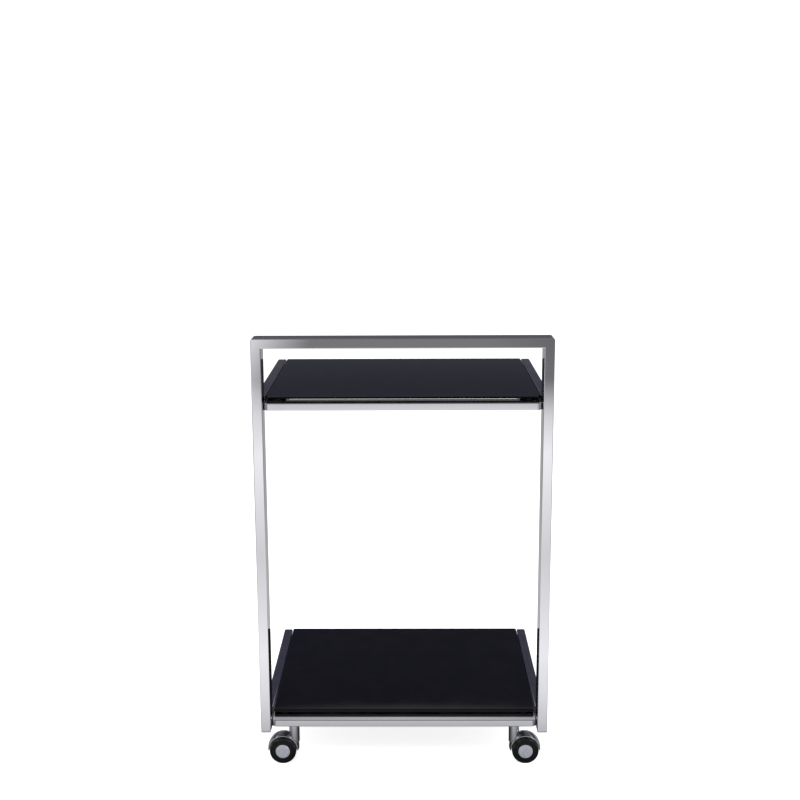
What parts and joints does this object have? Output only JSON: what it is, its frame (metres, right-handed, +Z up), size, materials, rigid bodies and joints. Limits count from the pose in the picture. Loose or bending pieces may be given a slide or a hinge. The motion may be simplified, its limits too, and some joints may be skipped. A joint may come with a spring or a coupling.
{
  "type": "bar cart on wheels",
  "caption": "Rolling bar cart: rectangular chrome tube arch with cantilevered black glass shelves, on hooded twin-wheel swivel casters.",
  "frame": {"origin": "on the floor, below the middle of the cart's plan outline", "axes": "+X to the right along the longer side, +Y from the arch back along the shelves, +Z up"},
  "size_m": [0.558, 0.424, 0.858],
  "materials": {
    "frame_chrome": "polished chrome plate on steel tube",
    "black_glass": "opaque black tempered glass, polished edges",
    "pad_rubber": "matt black rubber",
    "arm_cap_plastic": "black moulded plastic",
    "post_cap_plastic": "silver-grey moulded plastic",
    "zinc_nut": "zinc plated",
    "stem_steel": "bright zinc plated, turned",
    "caster_chrome": "polished chrome on die casting",
    "axle_steel": "bright steel",
    "hub_cap_grey": "satin silver-grey plastic",
    "wheel_black": "glossy black hard plastic"
  },
  "bodies": {
    "frame": {"left_post": "frame_chrome", "right_post": "frame_chrome", "left_post_cap": "post_cap_plastic", "right_post_cap": "post_cap_plastic", "top_bar": "frame_chrome", "caster_nuts": "zinc_nut", "lower_left_arm": "frame_chrome", "lower_left_arm_cap": "arm_cap_plastic", "lower_left_rail": "frame_chrome", "lower_right_arm": "frame_chrome", "lower_right_arm_cap": "arm_cap_plastic", "lower_right_rail": "frame_chrome", "lower_front_rail": "frame_chrome", "lower_rear_rail": "frame_chrome", "lower_pads": "pad_rubber", "lower_glass": "black_glass", "upper_left_arm": "frame_chrome", "upper_left_arm_cap": "arm_cap_plastic", "upper_left_rail": "frame_chrome", "upper_right_arm": "frame_chrome", "upper_right_arm_cap": "arm_cap_plastic", "upper_right_rail": "frame_chrome", "upper_front_rail": "frame_chrome", "upper_rear_rail": "frame_chrome", "upper_pads": "pad_rubber", "upper_glass": "black_glass", "front_left_stem": "stem_steel", "front_right_stem": "stem_steel", "rear_left_stem": "stem_steel", "rear_right_stem": "stem_steel"},
    "front_left_caster": {"front_left_housing": "caster_chrome", "front_left_axle": "axle_steel"},
    "front_left_front_wheel": {"front_left_front_wheel": "wheel_black", "front_left_front_hub_cap": "hub_cap_grey"},
    "front_left_back_wheel": {"front_left_back_wheel": "wheel_black", "front_left_back_hub_cap": "hub_cap_grey"},
    "front_right_caster": {"front_right_housing": "caster_chrome", "front_right_axle": "axle_steel"},
    "front_right_front_wheel": {"front_right_front_wheel": "wheel_black", "front_right_front_hub_cap": "hub_cap_grey"},
    "front_right_back_wheel": {"front_right_back_wheel": "wheel_black", "front_right_back_hub_cap": "hub_cap_grey"},
    "rear_left_caster": {"rear_left_housing": "caster_chrome", "rear_left_axle": "axle_steel"},
    "rear_left_front_wheel": {"rear_left_front_wheel": "wheel_black", "rear_left_front_hub_cap": "hub_cap_grey"},
    "rear_left_back_wheel": {"rear_left_back_wheel": "wheel_black", "rear_left_back_hub_cap": "hub_cap_grey"},
    "rear_right_caster": {"rear_right_housing": "caster_chrome", "rear_right_axle": "axle_steel"},
    "rear_right_front_wheel": {"rear_right_front_wheel": "wheel_black", "rear_right_front_hub_cap": "hub_cap_grey"},
    "rear_right_back_wheel": {"rear_right_back_wheel": "wheel_black", "rear_right_back_hub_cap": "hub_cap_grey"}
  },
  "joints": [
    {"name": "front_left_swivel", "type": "hinge", "parent": "frame", "child": "front_left_caster", "pos_m": [-0.218, -0.174, 0.06], "axis": [0, 0, 1], "continuous": true},
    {"name": "front_left_front_wheel_spin", "type": "hinge", "parent": "front_left_caster", "child": "front_left_front_wheel", "pos_m": [-0.24, -0.174, 0.0265], "axis": [0, 1, 0], "continuous": true},
    {"name": "front_left_back_wheel_spin", "type": "hinge", "parent": "front_left_caster", "child": "front_left_back_wheel", "pos_m": [-0.24, -0.174, 0.0265], "axis": [0, 1, 0], "continuous": true},
    {"name": "front_right_swivel", "type": "hinge", "parent": "frame", "child": "front_right_caster", "pos_m": [0.218, -0.174, 0.06], "axis": [0, 0, 1], "continuous": true},
    {"name": "front_right_front_wheel_spin", "type": "hinge", "parent": "front_right_caster", "child": "front_right_front_wheel", "pos_m": [0.24, -0.174, 0.0265], "axis": [0, 1, 0], "continuous": true},
    {"name": "front_right_back_wheel_spin", "type": "hinge", "parent": "front_right_caster", "child": "front_right_back_wheel", "pos_m": [0.24, -0.174, 0.0265], "axis": [0, 1, 0], "continuous": true},
    {"name": "rear_left_swivel", "type": "hinge", "parent": "frame", "child": "rear_left_caster", "pos_m": [-0.218, 0.1875, 0.06], "axis": [0, 0, 1], "continuous": true},
    {"name": "rear_left_front_wheel_spin", "type": "hinge", "parent": "rear_left_caster", "child": "rear_left_front_wheel", "pos_m": [-0.24, 0.1875, 0.0265], "axis": [0, 1, 0], "continuous": true},
    {"name": "rear_left_back_wheel_spin", "type": "hinge", "parent": "rear_left_caster", "child": "rear_left_back_wheel", "pos_m": [-0.24, 0.1875, 0.0265], "axis": [0, 1, 0], "continuous": true},
    {"name": "rear_right_swivel", "type": "hinge", "parent": "frame", "child": "rear_right_caster", "pos_m": [0.218, 0.1875, 0.06], "axis": [0, 0, 1], "continuous": true},
    {"name": "rear_right_front_wheel_spin", "type": "hinge", "parent": "rear_right_caster", "child": "rear_right_front_wheel", "pos_m": [0.24, 0.1875, 0.0265], "axis": [0, 1, 0], "continuous": true},
    {"name": "rear_right_back_wheel_spin", "type": "hinge", "parent": "rear_right_caster", "child": "rear_right_back_wheel", "pos_m": [0.24, 0.1875, 0.0265], "axis": [0, 1, 0], "continuous": true}
  ]
}
